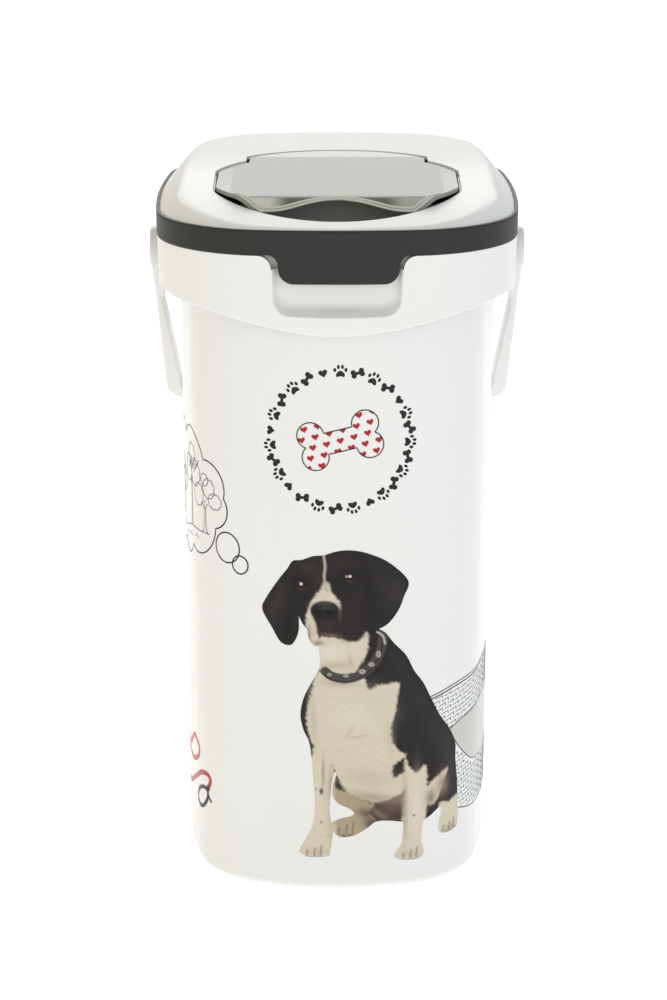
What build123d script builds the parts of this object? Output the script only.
from build123d import *
import math
import os
from typing import NamedTuple

# Pet food bin: a tall oval tub with a skirted rim, a hinged two-tone lid with a
# flip-up pouring flap, and a bail handle that hangs behind the tub.
# Millimetres. +Z up, front faces -Y, origin at the middle of the tub's underside.


class Oval(NamedTuple):
    """A rounded rectangle with bulging sides, made of eight tangent arcs."""

    half_width: float
    half_depth: float
    front_radius: float
    side_radius: float
    corner_radius: float

    def grown(self, distance):
        """The parallel outline that lies `distance` further out."""
        return Oval(*(size + distance for size in self))


# ---- driving dimensions ----------------------------------------------------
HEIGHT = 500.0            # whole bin with its lid closed
RIM_Z = 462.0             # top of the tub, where the lid rests
BAND_TOP_Z = 479.0        # top of the lid frame's outer band

TUB_BASE = Oval(110.0, 133.5, 180.0, 315.0, 65.0)
SKIRT_TOP = Oval(125.3, 150.0, 480.0, 900.0, 80.0)
LID = Oval(125.8, 150.5, 480.0, 900.0, 80.0)
COVER_TOP = Oval(105.5, 131.6, 250.0, 466.0, 60.0)

# tub
TUB_DRAFT = 1.0           # growth of the tub from base to rim
TUB_WALL = 2.2
FLOOR = 3.0
BASE_FILLET = 6.0
RIM_FLANGE = 2.5
SKIRT_WALL = 2.4
SKIRT_DRAFT = 1.5
SKIRT_LOW_Z = 400.0       # construction height below the skirt's scalloped edge
SKIRT_FRONT_Z = 408.0     # lower edge of the skirt at the middle of front and back
SKIRT_SIDE_Z = 428.0      # lower edge of the skirt at the sides
SCALLOP_END = (100.0, 2.5)    # half width where the edge is this close to its side height
SOFT_EDGE = 1.0           # rounding of the skirt's lower edge and of the recess's mouth

# finger recess under the lid's tab
RECESS_MOUTH = (45.2, 417.5, 13.0)    # half width, lowest z, corner radius at the skirt
RECESS_BACK = (39.5, 426.5, 10.0)     # the same at the recess's back wall
RECESS_MOUTH_Y = -153.5
RECESS_BACK_Y = -141.0
RECESS_TOP_Z = 480.0
RECESS_WALL = 2.0
RECESS_COVE = 5.0         # rounding between the recess's sides and its back wall
RECESS_BACKING = 12.0     # depth of the walls behind the recess's flared corners
RECESS_FLARE = 9.0        # radius of the skirt's corners where the recess meets the rim
RECESS_HALF_WIDTH = 43.5  # at the skirt's face
CATCH_Z = 453.0
CATCH_HALF_WIDTH = 22.0
CATCH_RADIUS = 2.6
CATCH_BITE = 1.0          # how far the ridge runs into the recess's back wall

# printed film on the tub
FILM_THICKNESS = 0.2
FILM_LOW_Z = 8.0
FILM_HIGH_Z = 440.0

# lid frame
LID_GAP = 0.6             # between the tub's rim and the frame's band
BAND_WALL = 2.6
BAND_FILLET = 1.2
WEB_Z = 464.5
WEB_THICKNESS = 2.0
PLUG_GAP = 0.9
PLUG_WALL = 2.0
PLUG_LOW_Z = 452.0
SEAL_HALF_WIDTH = 2.2
SEAL_GAP = 0.1            # between a closed seal and what it closes on
TAB_OFFSET_X = 1.0        # the tab sits a little to one side in its recess
TAB_TOP_HALF_WIDTH = 41.0
TAB_LOW_HALF_WIDTH = 38.5
TAB_LOW_Z = 443.5
TAB_WALL = 3.0
TAB_CORNER = 10.0
TAB_SHOULDER = 7.0
TAB_HOOK = (-148.4, 447.5)    # y and z of the rib inside the tab, under the catch
TAB_HOOK_RADIUS = 1.8
TAB_HOOK_HALF_WIDTH = 14.0
FRAME_OPENING = 3.0       # the frame's opening is this much larger than the cover's

# lid cover
COVER_WALL = 2.4
COVER_GAP = 0.1           # between the cover's rim and the frame's band
COVER_STEP = 0.4          # the cover starts to slope in this far below the band's top
COVER_RIM_Z = 468.0
COVER_SLOPE_RADIUS = 680.0    # the cover's middle falls towards the front on this arc
COVER_SLOPE_Y = 20.0          # where that arc starts
COVER_EDGE_FILLET = 10.0
COVER_EDGE_LOW_Z = 484.0      # the top edge is rounded where it lies above this

# pouring flap and its opening
OPENING_HALF_WIDTH = 84.0
OPENING_SIDE_Y = (-79.0, -32.0)   # the straight sides run between these
OPENING_FRONT_Y = -135.0
OPENING_ARC_Y = 28.0          # top of the arc that joins the sides behind
HINGE_BAY_HALF_WIDTH = 64.0   # the hinge bay steps back from that arc
HINGE_BAY_SIDE_Y = 17.0
HINGE_BAY_BACK_Y = 46.5
FLAP_GAP = 2.3
FLAP_THICKNESS = 2.8
FLAP_HINGE_Y = 12.0
FLAP_HINGE_Z = 493.2
FLAP_TOP_Z = 499.6
FLAP_SLOPE = 0.045            # the flap's flat panel falls this much per millimetre
FLAP_BEND_Y = -100.0          # where the panel bends down into its front lip
FLAP_LIP_RADIUS = 18.0
FLAP_LIP_ANGLE = 40.0
FLAP_LIP_REACH = 13.0
ARCH_HALF_WIDTH = 45.0
ARCH_FOOT_Z = 485.2           # the lip's lower edge beside the arch
ARCH_HEIGHT = 6.6
ARCH_RISE = 0.55              # share of its height that the arch has at half its width
ARCH_SIDE = (100.0, 0.5)      # beside the arch the edge falls this much by this half width
ARCH_BACK_Y = -80.0
FLAP_PIN_RADIUS = 1.8
FLAP_LUG_RADIUS = 3.6
FLAP_LUG_X = (50.0, 58.0)       # the flap's hinge lugs, left and right
FLAP_EAR_X = (59.0, 62.0)       # the insert's ears outside them
FLAP_EAR_RADIUS = 2.8
FLAP_PIN_END_X = 61.5
RUNNING_GAP = 0.06            # radial clearance of every pin that turns

# charcoal pouring insert under the flap
INSERT_WALL = 2.0
INSERT_LOW_Z = 457.0
INSERT_FLANGE = 5.0           # reach of the flange under the cover
INSERT_LIP = 1.0              # the flange shows this much inside the opening
INSERT_SKIRT = 2.5            # the outer wall stands this far outside the opening
SPOUT_HALF_WIDTH = 62.0
SPOUT_Y = (-70.0, -6.0)
SPOUT_CORNER = 14.0
WELL_CENTRE = (0.0, -114.0, 500.0)
WELL_RADII = (76.0, 31.0, 33.0)
FLAP_SEAL_HEIGHT = 1.6

# lid hinge
HINGE_Y = 155.5
HINGE_Z = 466.0
KNUCKLE_RADIUS = 4.5
HINGE_PIN_RADIUS = 2.0
LID_KNUCKLE_HALF = 24.0
TUB_KNUCKLE = (24.6, 44.6)
HINGE_PIN_HALF = 46.0
PIN_CHAMFER = 0.4
BRACKET_ROOT = (148.3, 446.0)     # y of the tub's brackets on the skirt, and their lowest z
LID_ARM_UNDERSIDE = [(148.5, 464.5), (152.5, 462.8)]

# bail handle
HANDLE_PIVOT_Z = 438.0
HANDLE_TILT = 46.0            # degrees from hanging straight down, at rest
HANDLE_OUTER_HALF = 132.4
HANDLE_INNER_HALF = 126.1
HANDLE_KNEE_HALF = 120.5      # inner half width where the arms meet the grip
HANDLE_LENGTH = 214.0
HANDLE_GRIP = 12.5
HANDLE_KNEE = (75.0, 172.0)   # along the arm: where it starts and stops thickening
HANDLE_OUTER_CORNER = 26.0
HANDLE_INNER_CORNER = 16.0
HANDLE_STRAP = 14.0
HANDLE_ROOT = 24.0            # strap width beside the eye
HANDLE_TAPER = 58.0           # how far along the arm the strap narrows
HANDLE_EDGE = 2.4
EYE_RADIUS = 15.0
PEG_RADIUS = 6.0
PEG_HEAD_RADIUS = 7.2
PEG_HEAD_X = (117.6, 119.8)
PEG_BOSS_RADIUS = 11.0
PEG_BOSS_X = (120.2, 124.8)
ROOT_INSET = 0.5              # the root's thin end lies this deep in the strap

# cutting solids
PAST = 1.0                    # how far a cutter runs past the face it opens
CLEAR = 10.0                  # how far it runs past the outside of the bin
BELOW_LID_Z = 440.0           # lower and upper ends of the cutters that shape the lid
ABOVE_LID_Z = 505.0


# ---- outline helpers -------------------------------------------------------
def circle_crossing(centre_a, radius_a, centre_b, radius_b):
    """The crossing of two circles that lies at +X, -Y of the line of centres."""
    ax, ay = centre_a
    bx, by = centre_b
    gap = math.hypot(bx - ax, by - ay)
    along = (radius_a**2 - radius_b**2 + gap**2) / (2 * gap)
    across = math.sqrt(radius_a**2 - along**2)
    ux, uy = (bx - ax) / gap, (by - ay) / gap
    first = (ax + along * ux - across * uy, ay + along * uy + across * ux)
    second = (ax + along * ux + across * uy, ay + along * uy - across * ux)
    return first if first[0] - first[1] > second[0] - second[1] else second


def point_towards(start, target, distance):
    """The point at this distance from start on the way to target."""
    gap = math.hypot(target[0] - start[0], target[1] - start[1])
    return tuple(start[i] + (target[i] - start[i]) / gap * distance for i in (0, 1))


def oval_face(oval, z):
    """A flat face bounded by the oval at height z."""
    front_centre = (0.0, oval.front_radius - oval.half_depth)
    side_centre = (oval.half_width - oval.side_radius, 0.0)
    corner = circle_crossing(
        front_centre, oval.front_radius - oval.corner_radius,
        side_centre, oval.side_radius - oval.corner_radius)
    front_end = point_towards(front_centre, corner, oval.front_radius)
    side_end = point_towards(side_centre, corner, oval.side_radius)
    chord_middle = ((front_end[0] + side_end[0]) / 2, (front_end[1] + side_end[1]) / 2)
    corner_middle = point_towards(corner, chord_middle, oval.corner_radius)

    def arc(start, middle, end):
        return ThreePointArc((*start, z), (*middle, z), (*end, z))

    def flip(point, x_sign, y_sign):
        return (point[0] * x_sign, point[1] * y_sign)

    edges = [
        arc(flip(front_end, -1, 1), (0.0, -oval.half_depth), front_end),
        arc(front_end, corner_middle, side_end),
        arc(side_end, (oval.half_width, 0.0), flip(side_end, 1, -1)),
        arc(flip(side_end, 1, -1), flip(corner_middle, 1, -1), flip(front_end, 1, -1)),
        arc(flip(front_end, 1, -1), (0.0, oval.half_depth), flip(front_end, -1, -1)),
        arc(flip(front_end, -1, -1), flip(corner_middle, -1, -1), flip(side_end, -1, -1)),
        arc(flip(side_end, -1, -1), (-oval.half_width, 0.0), flip(side_end, -1, 1)),
        arc(flip(side_end, -1, 1), flip(corner_middle, -1, 1), flip(front_end, -1, 1)),
    ]
    return Face(Wire(edges))


def oval_solid(low, low_z, high, high_z):
    """A solid that runs straight from one oval to another."""
    return Solid(loft([oval_face(low, low_z), oval_face(high, high_z)], ruled=True).wrapped)


def oval_prism(oval, low_z, high_z):
    return oval_solid(oval, low_z, oval, high_z)


def x_prism(face_yz, half_length, centre_x=0.0):
    """A YZ-plane face drawn as (y, z), made solid along X."""
    return Pos(centre_x, 0, 0) * extrude(Plane.YZ * face_yz, amount=half_length, both=True)


def y_prism(face_xz, low_y, high_y):
    """An XZ-plane face drawn as (x, z), made solid from low_y to high_y."""
    middle = Pos(0, (low_y + high_y) / 2, 0)
    return middle * extrude(Plane.XZ * face_xz, amount=(high_y - low_y) / 2, both=True)


def z_prism(face_xy, low_z, high_z):
    """A plan-view face made solid from low_z to high_z."""
    middle = Pos(0, 0, (low_z + high_z) / 2)
    return middle * extrude(face_xy, amount=(high_z - low_z) / 2, both=True)


def x_cylinder(radius, low_x, high_x, y, z):
    return Pos((low_x + high_x) / 2, y, z) * Rot(0, 90, 0) * Cylinder(radius, high_x - low_x)


def closed_face(*edges):
    return Face(Wire(edges))


def edges_near_z(shape, z, tolerance=0.05):
    """The edges whose whole length lies at height z."""
    return [edge for edge in shape.edges()
            if abs(edge.bounding_box().min.Z - z) < tolerance
            and abs(edge.bounding_box().max.Z - z) < tolerance]


# ---- tub -------------------------------------------------------------------
def tub_oval(z, inset=0.0):
    return TUB_BASE.grown(TUB_DRAFT * z / RIM_Z - inset)


def skirt_oval(z, inset=0.0):
    share = (RIM_Z - z) / (RIM_Z - SKIRT_LOW_Z)
    return SKIRT_TOP.grown(-SKIRT_DRAFT * share - inset)


def below_skirt_edge():
    """What lies under the scalloped lower edge, as a prism along Y."""
    reach = LID.half_width + CLEAR
    end_x, end_drop = SCALLOP_END
    edge = Spline(
        (-reach, SKIRT_SIDE_Z), (-end_x, SKIRT_SIDE_Z - end_drop), (0, SKIRT_FRONT_Z),
        (end_x, SKIRT_SIDE_Z - end_drop), (reach, SKIRT_SIDE_Z),
        tangents=[(1, 0), (1, 0)])
    bottom = SKIRT_LOW_Z - CLEAR
    box = Polyline((reach, SKIRT_SIDE_Z), (reach, bottom), (-reach, bottom), (-reach, SKIRT_SIDE_Z))
    depth = LID.half_depth + CLEAR
    return y_prism(Face(Wire([edge, *box.edges()])), -depth, depth)


def recess_section(section, y, margin=0.0):
    half_width, low_z, corner = section
    height = RECESS_TOP_Z - low_z + margin
    face = Plane.XZ.offset(-y) * Pos(0, low_z - margin + height / 2, 0) * RectangleRounded(
        2 * (half_width + margin), height, corner + margin)
    return face


def recess_solid(margin=0.0, deeper=0.0):
    """The finger recess, tapering back from the skirt's face."""
    mouth = recess_section(RECESS_MOUTH, RECESS_MOUTH_Y, margin)
    back = recess_section(RECESS_BACK, RECESS_BACK_Y + deeper, margin)
    recess = loft([mouth, back], ruled=True)
    return fillet(recess.faces().sort_by(Axis.Y)[-1].edges(), RECESS_COVE)


def recess_flare():
    """The rounded corners that the recess opens with at the rim, for the tab's shoulders."""
    reach = RECESS_HALF_WIDTH + RECESS_FLARE
    low_z = RIM_Z - RECESS_FLARE
    face = Pos(0, low_z + RECESS_FLARE) * Rectangle(2 * reach, 2 * RECESS_FLARE)
    for side in (-1, 1):
        face -= Pos(side * reach, low_z) * Circle(RECESS_FLARE)
    return y_prism(face, RECESS_MOUTH_Y, RECESS_BACK_Y)


def recess_backing(skirt):
    """The skirt's own walls round the recess and behind its flared corners."""
    height = RECESS_FLARE + RECESS_WALL
    corner_block = Box(2 * (RECESS_HALF_WIDTH + height), RECESS_BACKING, height)
    middle_y = RECESS_BACK_Y + RECESS_WALL - RECESS_BACKING / 2
    corner_block = Pos(0, middle_y, RIM_Z - height / 2) * corner_block
    return (recess_solid(RECESS_WALL, RECESS_WALL) + corner_block) & skirt


def tub_hinge_bracket(low_x, high_x):
    """A web on the back of the skirt that carries one of the tub's hinge knuckles."""
    root_y, root_low_z = BRACKET_ROOT
    web = Polyline(
        (root_y, root_low_z), (HINGE_Y + KNUCKLE_RADIUS, HINGE_Z - HINGE_PIN_RADIUS),
        (HINGE_Y, HINGE_Z), (HINGE_Y - KNUCKLE_RADIUS, HINGE_Z),
        (HINGE_Y - KNUCKLE_RADIUS, RIM_Z), (root_y, RIM_Z), close=True)
    middle = (low_x + high_x) / 2
    bracket = x_prism(Face(Wire(web.edges())), abs(high_x - low_x) / 2, middle)
    knuckle = x_cylinder(KNUCKLE_RADIUS, low_x, high_x, HINGE_Y, HINGE_Z)
    return bracket + knuckle


def distinct(edges):
    """The edges without repeats, where faces share them."""
    kept = []
    for edge in edges:
        if all((edge.center() - other.center()).length > 0.01 for other in kept):
            kept.append(edge)
    return kept


def soften_skirt(skirt):
    """Round the scalloped lower edge and the mouth of the finger recess."""
    scallop = [face for face in skirt.faces()
               if face.normal_at().Z < -0.95 and SKIRT_LOW_Z < face.center().Z < SKIRT_SIDE_Z]
    edges = [edge for face in scallop for edge in face.edges() if edge.length > 5]
    skirt = fillet(distinct(edges), SOFT_EDGE)
    mouth = [edge for edge in skirt.edges()
             if edge.center().Y < -SKIRT_TOP.half_depth + 2.5
             and abs(edge.center().X) < RECESS_HALF_WIDTH + 1
             and RECESS_MOUTH[1] - 2 < edge.center().Z < RIM_Z - RECESS_FLARE + 1]
    return fillet(mouth, SOFT_EDGE)


def make_tub():
    outer = oval_solid(tub_oval(0), 0, tub_oval(RIM_Z), RIM_Z)
    outer = fillet(edges_near_z(outer, 0), BASE_FILLET)
    inner = oval_solid(
        tub_oval(FLOOR, TUB_WALL), FLOOR, tub_oval(RIM_Z + PAST, TUB_WALL), RIM_Z + PAST)
    inner = fillet(edges_near_z(inner, FLOOR), BASE_FILLET - TUB_WALL)

    skirt = oval_solid(skirt_oval(SKIRT_LOW_Z), SKIRT_LOW_Z, skirt_oval(RIM_Z), RIM_Z)
    void_top = RIM_Z - RIM_FLANGE
    void = oval_solid(
        skirt_oval(SKIRT_LOW_Z - PAST, SKIRT_WALL), SKIRT_LOW_Z - PAST,
        skirt_oval(void_top, SKIRT_WALL), void_top)
    backing = recess_backing(skirt)
    for side in (-1, 1):
        boss = x_cylinder(PEG_BOSS_RADIUS, *PEG_BOSS_X, 0, HANDLE_PIVOT_Z)
        backing += (boss if side > 0 else mirror(boss, about=Plane.YZ)) & skirt
    skirt = skirt - void + backing
    skirt -= recess_solid() + recess_flare()
    skirt -= below_skirt_edge()
    skirt = soften_skirt(skirt)
    reach = LID.half_width + CLEAR
    skirt -= x_cylinder(PEG_RADIUS + RUNNING_GAP, -reach, reach, 0, HANDLE_PIVOT_Z)

    tub = skirt + outer - inner
    catch = x_cylinder(CATCH_RADIUS, -CATCH_HALF_WIDTH, CATCH_HALF_WIDTH, RECESS_BACK_Y, CATCH_Z)
    size = 4 * CATCH_RADIUS
    catch_window = Pos(0, RECESS_BACK_Y + CATCH_BITE - size / 2, CATCH_Z) * Box(
        2 * CATCH_HALF_WIDTH, size, size)
    tub += catch & catch_window
    for side in (-1, 1):
        low_x, high_x = sorted(side * x for x in TUB_KNUCKLE)
        tub += tub_hinge_bracket(low_x, high_x)
    tub -= x_cylinder(HINGE_PIN_RADIUS, -HINGE_PIN_HALF, HINGE_PIN_HALF, HINGE_Y, HINGE_Z)
    return tub


def make_film():
    grown = FILM_THICKNESS
    outer = oval_solid(
        tub_oval(FILM_LOW_Z, -grown), FILM_LOW_Z, tub_oval(FILM_HIGH_Z, -grown), FILM_HIGH_Z)
    inner = oval_solid(tub_oval(FILM_LOW_Z), FILM_LOW_Z, tub_oval(FILM_HIGH_Z), FILM_HIGH_Z)
    return outer - inner


# ---- lid frame, seal and hinge pin -----------------------------------------
def tab_face():
    """Front view of the latch tab, hung under the band with swept-in shoulders."""
    top_z = COVER_RIM_Z - PAST
    low_z = RIM_Z + LID_GAP
    right_top = TAB_TOP_HALF_WIDTH + TAB_SHOULDER
    points = [
        (TAB_OFFSET_X - right_top, top_z), (TAB_OFFSET_X - right_top, low_z),
        (TAB_OFFSET_X - TAB_TOP_HALF_WIDTH, low_z), (TAB_OFFSET_X - TAB_LOW_HALF_WIDTH, TAB_LOW_Z),
        (TAB_OFFSET_X + TAB_LOW_HALF_WIDTH, TAB_LOW_Z), (TAB_OFFSET_X + TAB_TOP_HALF_WIDTH, low_z),
        (TAB_OFFSET_X + right_top, low_z), (TAB_OFFSET_X + right_top, top_z)]
    face = Face(Wire(Polyline(*points, close=True).edges()))
    face = fillet([v for v in face.vertices() if abs(v.Y - TAB_LOW_Z) < 0.1], TAB_CORNER)
    waist = [v for v in face.vertices()
             if abs(v.Y - low_z) < 0.1 and abs(v.X - TAB_OFFSET_X) < TAB_TOP_HALF_WIDTH + 0.1]
    return fillet(waist, TAB_SHOULDER - 0.1)


def opening_face(margin=0.0):
    """Plan of the flap's opening in the cover; a positive margin makes it larger."""
    half = OPENING_HALF_WIDTH + margin
    bay = HINGE_BAY_HALF_WIDTH + margin
    side_front, side_back = OPENING_SIDE_Y
    arc_top = OPENING_ARC_Y + margin
    rise = arc_top - side_back
    arc_radius = (half**2 + rise**2) / (2 * rise)

    def arc_y(x):
        return arc_top - arc_radius + math.sqrt(arc_radius**2 - x**2)

    front = ThreePointArc((-half, side_front), (0, OPENING_FRONT_Y - margin), (half, side_front))
    edges = [front]
    bay_side_y = HINGE_BAY_SIDE_Y + margin
    for side in (1, -1):
        shoulder_x = (half + bay) / 2
        edges += [
            Line((side * half, side_front), (side * half, side_back)),
            ThreePointArc((side * half, side_back), (side * shoulder_x, arc_y(shoulder_x)),
                          (side * bay, arc_y(bay))),
            Line((side * bay, arc_y(bay)), (side * bay, bay_side_y)),
        ]
    edges.append(ThreePointArc(
        (bay, bay_side_y), (0, HINGE_BAY_BACK_Y + margin), (-bay, bay_side_y)))
    return closed_face(*edges)


def opening_prism(margin, low_z, high_z):
    return z_prism(opening_face(margin), low_z, high_z)


def make_lid_frame():
    low_z = RIM_Z + LID_GAP
    band = oval_prism(LID, low_z, BAND_TOP_Z)
    band = fillet(edges_near_z(band, BAND_TOP_Z), BAND_FILLET)
    band = chamfer(edges_near_z(band, low_z), BAND_FILLET / 2)
    band -= oval_prism(LID.grown(-BAND_WALL), low_z - PAST, BAND_TOP_Z + PAST)

    sheath = oval_prism(LID, TAB_LOW_Z - PAST, COVER_RIM_Z)
    sheath -= oval_prism(LID.grown(-TAB_WALL), TAB_LOW_Z - 2 * PAST, BAND_TOP_Z)
    tab = sheath & y_prism(tab_face(), -LID.half_depth - CLEAR, -LID.half_depth / 2)
    hook = x_cylinder(TAB_HOOK_RADIUS, -TAB_HOOK_HALF_WIDTH, TAB_HOOK_HALF_WIDTH, *TAB_HOOK)
    web = oval_prism(LID.grown(-BAND_WALL / 2), WEB_Z, WEB_Z + WEB_THICKNESS)
    plug_oval = tub_oval(RIM_Z, TUB_WALL + PLUG_GAP)
    plug = oval_prism(plug_oval, PLUG_LOW_Z, WEB_Z + WEB_THICKNESS / 2)
    plug -= oval_prism(plug_oval.grown(-PLUG_WALL), PLUG_LOW_Z - PAST, WEB_Z)

    frame = band + tab + hook + web + plug
    frame -= opening_prism(FRAME_OPENING, BELOW_LID_Z, ABOVE_LID_Z)
    arm_top = HINGE_Z + KNUCKLE_RADIUS
    arm = Polyline(
        *LID_ARM_UNDERSIDE, (HINGE_Y, HINGE_Z), (HINGE_Y, arm_top),
        (LID_ARM_UNDERSIDE[0][0], arm_top), close=True)
    frame += x_prism(Face(Wire(arm.edges())), LID_KNUCKLE_HALF)
    frame += x_cylinder(KNUCKLE_RADIUS, -LID_KNUCKLE_HALF, LID_KNUCKLE_HALF, HINGE_Y, HINGE_Z)
    frame -= x_cylinder(
        HINGE_PIN_RADIUS + RUNNING_GAP, -HINGE_PIN_HALF, HINGE_PIN_HALF, HINGE_Y, HINGE_Z)
    return frame


def make_lid_seal():
    """A flat gasket under the frame's web that closes on the tub's rim."""
    inner = tub_oval(RIM_Z, TUB_WALL + PLUG_GAP)
    outer = tub_oval(RIM_Z, TUB_WALL).grown(2 * SEAL_HALF_WIDTH)
    low_z = RIM_Z + SEAL_GAP
    return oval_prism(outer, low_z, WEB_Z) - oval_prism(inner, low_z - PAST, WEB_Z + PAST)


def make_hinge_pin():
    pin = x_cylinder(HINGE_PIN_RADIUS, -HINGE_PIN_HALF, HINGE_PIN_HALF, HINGE_Y, HINGE_Z)
    return chamfer(pin.edges().filter_by(GeomType.CIRCLE), PIN_CHAMFER)


# ---- lid cover -------------------------------------------------------------
def cover_top_z(y):
    if y >= COVER_SLOPE_Y:
        return HEIGHT
    return HEIGHT - COVER_SLOPE_RADIUS + math.sqrt(COVER_SLOPE_RADIUS**2 - (y - COVER_SLOPE_Y)**2)


def under_cover_slope(drop=0.0):
    """Everything below the cover's top line in side view, lowered by drop."""
    front_y = -LID.half_depth - CLEAR
    back_y = LID.half_depth + CLEAR
    middle_y = (front_y + COVER_SLOPE_Y) / 2
    slope = ThreePointArc(
        (front_y, cover_top_z(front_y) - drop), (middle_y, cover_top_z(middle_y) - drop),
        (COVER_SLOPE_Y, HEIGHT - drop))
    rest = Polyline(
        (COVER_SLOPE_Y, HEIGHT - drop), (back_y, HEIGHT - drop), (back_y, BELOW_LID_Z),
        (front_y, BELOW_LID_Z), (front_y, cover_top_z(front_y) - drop))
    return x_prism(Face(Wire([slope, *rest.edges()])), LID.half_width + CLEAR)


def cover_block(inset=0.0):
    """The cover's outer form, or the hollow under it when inset by its wall."""
    rim = LID.grown(-BAND_WALL - COVER_GAP - inset)
    step_z = BAND_TOP_Z - COVER_STEP
    dome = oval_solid(rim, step_z, COVER_TOP.grown(-inset), HEIGHT + PAST)
    block = dome & under_cover_slope(inset)
    return block + oval_prism(rim, COVER_RIM_Z - (PAST if inset else 0), step_z)


def make_lid_cover():
    outer = cover_block()
    top_edges = [e for e in outer.edges()
                 if e.center().Z > COVER_EDGE_LOW_Z and e.center().Y > OPENING_FRONT_Y]
    outer = fillet(top_edges, COVER_EDGE_FILLET)
    cover = outer - cover_block(COVER_WALL)
    return cover - opening_prism(0.0, COVER_RIM_Z, ABOVE_LID_Z)


# ---- pouring insert, flap and flap hinge -----------------------------------
def flap_profile(grow=0.0):
    """Side view of the flap: a flat panel that bends down into its front lip."""
    top_z = FLAP_TOP_Z + grow
    low_z = FLAP_TOP_Z - FLAP_THICKNESS - grow
    back_y = HINGE_BAY_BACK_Y + PAST

    def panel_z(y, base):
        return base + (y - COVER_SLOPE_Y) * FLAP_SLOPE if y < COVER_SLOPE_Y else base

    panel_angle = math.atan(FLAP_SLOPE)
    lip_angle = math.radians(FLAP_LIP_ANGLE)

    def lip(base, radius):
        bend = (FLAP_BEND_Y, panel_z(FLAP_BEND_Y, base))
        centre = (bend[0] + radius * math.sin(panel_angle), bend[1] - radius * math.cos(panel_angle))

        def on_bend(angle):
            return (centre[0] - radius * math.sin(angle), centre[1] + radius * math.cos(angle))

        end = on_bend(lip_angle)
        tip = (end[0] - FLAP_LIP_REACH * math.cos(lip_angle),
               end[1] - FLAP_LIP_REACH * math.sin(lip_angle))
        return bend, on_bend((panel_angle + lip_angle) / 2), end, tip

    top = lip(top_z, FLAP_LIP_RADIUS + grow)
    low = lip(low_z, FLAP_LIP_RADIUS - FLAP_THICKNESS - grow)
    return closed_face(
        Line((back_y, top_z), (COVER_SLOPE_Y, top_z)), Line((COVER_SLOPE_Y, top_z), top[0]),
        ThreePointArc(top[0], top[1], top[2]), Line(top[2], top[3]), Line(top[3], low[3]),
        Line(low[3], low[2]), ThreePointArc(low[2], low[1], low[0]),
        Line(low[0], (COVER_SLOPE_Y, low_z)), Line((COVER_SLOPE_Y, low_z), (back_y, low_z)),
        Line((back_y, low_z), (back_y, top_z)))


def under_flap(drop):
    """Everything below the flap's panel line in side view."""
    base = FLAP_TOP_Z - FLAP_THICKNESS - drop
    front_y, back_y = -LID.half_depth, HINGE_BAY_BACK_Y + CLEAR
    front_z = base - (COVER_SLOPE_Y - front_y) * FLAP_SLOPE
    side_view = Polyline(
        (back_y, base), (COVER_SLOPE_Y, base), (front_y, front_z), (front_y, BELOW_LID_Z),
        (back_y, BELOW_LID_Z), close=True)
    return x_prism(Face(Wire(side_view.edges())), LID.half_width)


def arch_cut():
    """Front view of the finger arch under the flap's lip, made solid along Y."""
    foot_z = ARCH_FOOT_Z
    half_z = foot_z + ARCH_HEIGHT * ARCH_RISE
    side_x, side_drop = ARCH_SIDE
    side_z = foot_z - side_drop
    curve = Spline(
        (-ARCH_HALF_WIDTH, foot_z), (-ARCH_HALF_WIDTH / 2, half_z), (0, foot_z + ARCH_HEIGHT),
        (ARCH_HALF_WIDTH / 2, half_z), (ARCH_HALF_WIDTH, foot_z), tangents=[(1, 0), (1, 0)])
    rest = Polyline(
        (ARCH_HALF_WIDTH, foot_z), (side_x, side_z), (side_x, BELOW_LID_Z),
        (-side_x, BELOW_LID_Z), (-side_x, side_z), (-ARCH_HALF_WIDTH, foot_z))
    return y_prism(Face(Wire([curve, *rest.edges()])), OPENING_FRONT_Y - CLEAR, ARCH_BACK_Y)


def make_flap():
    flap = x_prism(flap_profile(), OPENING_HALF_WIDTH)
    flap &= opening_prism(-FLAP_GAP, BELOW_LID_Z, ABOVE_LID_Z)
    flap -= arch_cut()
    lug_top = FLAP_TOP_Z - FLAP_THICKNESS
    for side in (-1, 1):
        low_x, high_x = sorted(side * x for x in FLAP_LUG_X)
        lug = x_cylinder(FLAP_LUG_RADIUS, low_x, high_x, FLAP_HINGE_Y, FLAP_HINGE_Z)
        neck = Pos((low_x + high_x) / 2, FLAP_HINGE_Y, (FLAP_HINGE_Z + lug_top) / 2) * Box(
            high_x - low_x, 2 * FLAP_LUG_RADIUS, lug_top - FLAP_HINGE_Z)
        flap += lug + neck
    return flap - x_cylinder(
        FLAP_PIN_RADIUS + RUNNING_GAP, -OPENING_HALF_WIDTH, OPENING_HALF_WIDTH,
        FLAP_HINGE_Y, FLAP_HINGE_Z)


def make_flap_pin(side):
    low_x, high_x = sorted((side * FLAP_LUG_X[0], side * FLAP_PIN_END_X))
    pin = x_cylinder(FLAP_PIN_RADIUS, low_x, high_x, FLAP_HINGE_Y, FLAP_HINGE_Z)
    return chamfer(pin.edges().filter_by(GeomType.CIRCLE), PIN_CHAMFER)


def spout_prism(margin, low_z, high_z):
    front_y, back_y = SPOUT_Y
    plan = Pos(0, (front_y + back_y) / 2) * RectangleRounded(
        2 * (SPOUT_HALF_WIDTH + margin), back_y - front_y + 2 * margin, SPOUT_CORNER + margin)
    return z_prism(plan, low_z, high_z)


def well_solid(margin):
    scale = [radius + margin for radius in WELL_RADII]
    ball = Solid.make_sphere(1.0, angle1=-90, angle2=90, angle3=360)
    matrix = Matrix([[scale[0], 0, 0, WELL_CENTRE[0]], [0, scale[1], 0, WELL_CENTRE[1]],
                     [0, 0, scale[2], WELL_CENTRE[2]]])
    return ball.transform_geometry(matrix)


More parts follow.
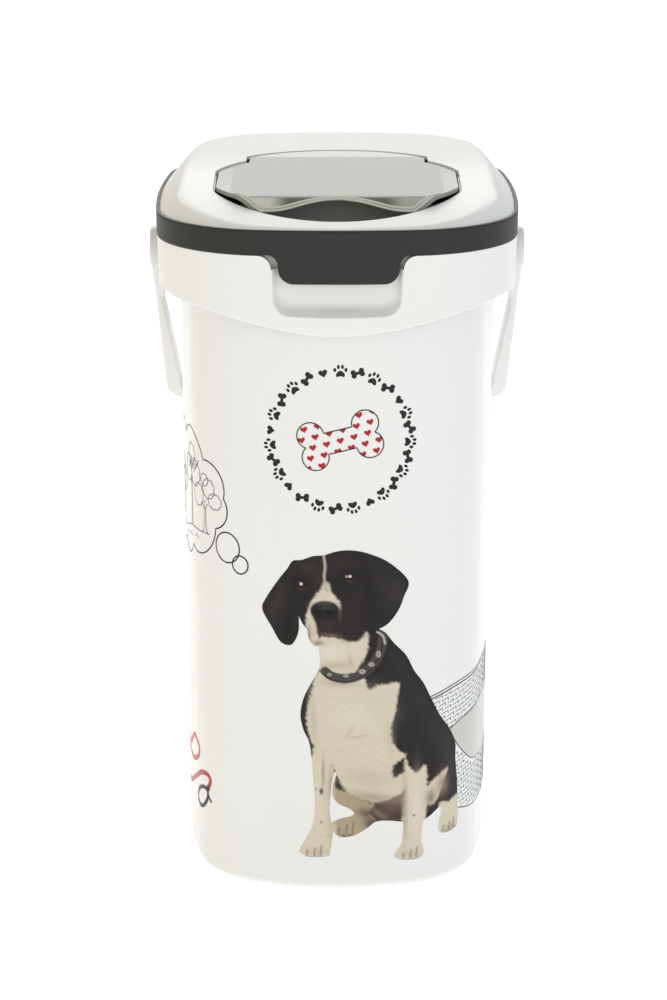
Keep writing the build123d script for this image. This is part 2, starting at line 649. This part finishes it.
def tail_bay(margin, low_z, high_z):
    """The trough that the flap's tail dips into behind its hinge."""
    half = HINGE_BAY_HALF_WIDTH + margin
    front_y = SPOUT_Y[1] + 2 * INSERT_WALL - margin
    back_y = HINGE_BAY_BACK_Y + margin
    plan = Pos(0, (front_y + back_y) / 2) * Rectangle(2 * half, back_y - front_y)
    return z_prism(plan, low_z, high_z)


def make_insert():
    wall = INSERT_WALL
    under_cover = under_cover_slope(COVER_WALL)
    within_skirt = opening_prism(INSERT_SKIRT, BELOW_LID_Z, HEIGHT)
    shell = spout_prism(wall, INSERT_LOW_Z, HEIGHT)
    shell += well_solid(wall)
    shell += tail_bay(wall, INSERT_LOW_Z, HEIGHT)
    shell &= under_flap(FLAP_SEAL_HEIGHT) & under_cover & within_skirt
    flange = opening_prism(INSERT_FLANGE, BELOW_LID_Z, HEIGHT)
    flange -= opening_prism(-INSERT_LIP, BELOW_LID_Z, ABOVE_LID_Z)
    flange &= under_cover - under_cover_slope(COVER_WALL + wall)
    skirt = opening_prism(INSERT_SKIRT, WEB_Z, HEIGHT)
    skirt -= opening_prism(INSERT_SKIRT - wall, WEB_Z - PAST, ABOVE_LID_Z)
    skirt &= under_cover
    floor = opening_prism(INSERT_SKIRT, WEB_Z, WEB_Z + wall)
    insert = shell + flange + skirt + floor
    insert -= well_solid(0.0) & opening_prism(-INSERT_LIP / 2, BELOW_LID_Z, HEIGHT)
    insert -= spout_prism(0.0, INSERT_LOW_Z - PAST, HEIGHT)
    insert -= tail_bay(0.0, INSERT_LOW_Z + wall, HEIGHT)
    for side in (-1, 1):
        low_x, high_x = sorted(side * x for x in FLAP_EAR_X)
        post_height = FLAP_HINGE_Z - INSERT_LOW_Z
        insert += Pos((low_x + high_x) / 2, FLAP_HINGE_Y, FLAP_HINGE_Z - post_height / 2) * Box(
            high_x - low_x, 2 * FLAP_EAR_RADIUS, post_height)
        insert += x_cylinder(FLAP_EAR_RADIUS, low_x, high_x, FLAP_HINGE_Y, FLAP_HINGE_Z)
    ear_end = FLAP_EAR_X[1]
    return insert - x_cylinder(FLAP_PIN_RADIUS, -ear_end, ear_end, FLAP_HINGE_Y, FLAP_HINGE_Z)


def make_flap_seal():
    """A soft ring on the spout's edge that the closed flap presses on."""
    ring = spout_prism(INSERT_WALL, WEB_Z, HEIGHT)
    ring -= spout_prism(0.0, WEB_Z - PAST, HEIGHT + PAST)
    return ring & (under_flap(SEAL_GAP) - under_flap(FLAP_SEAL_HEIGHT))


# ---- handle ----------------------------------------------------------------
def handle_strap_face():
    """The bail in its own plane: x across, y from the pivot axis towards the grip."""
    outer_half, inner_half = HANDLE_OUTER_HALF, HANDLE_INNER_HALF
    start, stop = HANDLE_KNEE
    inner_end = HANDLE_LENGTH - HANDLE_GRIP
    right = [(outer_half, 0), (inner_half, 0), (inner_half, start), (HANDLE_KNEE_HALF, stop),
             (HANDLE_KNEE_HALF, inner_end)]
    left = [(-x, y) for x, y in reversed(right)]
    outer = [(-outer_half, HANDLE_LENGTH), (outer_half, HANDLE_LENGTH)]
    face = Face(Wire(Polyline(*right, *left, *outer, close=True).edges()))
    inner_corners = [v for v in face.vertices() if abs(v.Y - inner_end) < 0.1]
    face = fillet(inner_corners, HANDLE_INNER_CORNER)
    outer_corners = [v for v in face.vertices() if abs(v.Y - HANDLE_LENGTH) < 0.1]
    return fillet(outer_corners, HANDLE_OUTER_CORNER)


def handle_root(low_x, high_x):
    """The arm's upper end, wider beside the eye, in the bail's own plane."""
    side_view = Polyline(
        (0, -HANDLE_ROOT / 2), (0, HANDLE_ROOT / 2),
        (HANDLE_TAPER, HANDLE_STRAP / 2 - ROOT_INSET),
        (HANDLE_TAPER, ROOT_INSET - HANDLE_STRAP / 2), close=True)
    root = x_prism(Face(Wire(side_view.edges())), (high_x - low_x) / 2, (low_x + high_x) / 2)
    outer = [e for e in root.edges()
             if abs(abs(e.center().X) - HANDLE_OUTER_HALF) < 0.1 and e.center().Y > 1]
    return fillet([e for e in outer if e.length > HANDLE_STRAP], HANDLE_EDGE)


def make_handle():
    strap = extrude(handle_strap_face(), amount=HANDLE_STRAP / 2, both=True)
    strap = fillet(strap.edges().filter_by(Axis.Z, reverse=True), HANDLE_EDGE)
    for side in (-1, 1):
        low_x, high_x = sorted((side * HANDLE_INNER_HALF, side * HANDLE_OUTER_HALF))
        eye = x_cylinder(EYE_RADIUS, low_x, high_x, 0, 0)
        rim = [e for e in eye.edges().filter_by(GeomType.CIRCLE)
               if abs(abs(e.center().X) - HANDLE_OUTER_HALF) < 0.1]
        strap += fillet(rim, HANDLE_EDGE)
        strap += handle_root(low_x, high_x)
        shank = sorted((side * PEG_HEAD_X[0], side * (HANDLE_INNER_HALF + PAST)))
        head = sorted(side * x for x in PEG_HEAD_X)
        strap += x_cylinder(PEG_RADIUS, *shank, 0, 0)
        strap += x_cylinder(PEG_HEAD_RADIUS, *head, 0, 0)
    # the plane's +Y swings down and back to the rest angle
    return Pos(0, 0, HANDLE_PIVOT_Z) * Rot(HANDLE_TILT - 90, 0, 0) * strap


# ---- build and write -------------------------------------------------------
PARTS = {
    "tub": make_tub,
    "printed_film": make_film,
    "lid_frame": make_lid_frame,
    "lid_seal": make_lid_seal,
    "lid_hinge_pin": make_hinge_pin,
    "lid_cover": make_lid_cover,
    "pouring_insert": make_insert,
    "flap": make_flap,
    "flap_seal": make_flap_seal,
    "flap_pin_left": lambda: make_flap_pin(-1),
    "flap_pin_right": lambda: make_flap_pin(1),
    "handle": make_handle,
}

os.makedirs("parts", exist_ok=True)
for name, make in PARTS.items():
    shape = make()
    solids = shape.solids()
    print(name, len(solids), [round(solid.volume) for solid in solids])
    export_step(Compound(solids) if len(solids) > 1 else solids[0], f"parts/{name}.step")
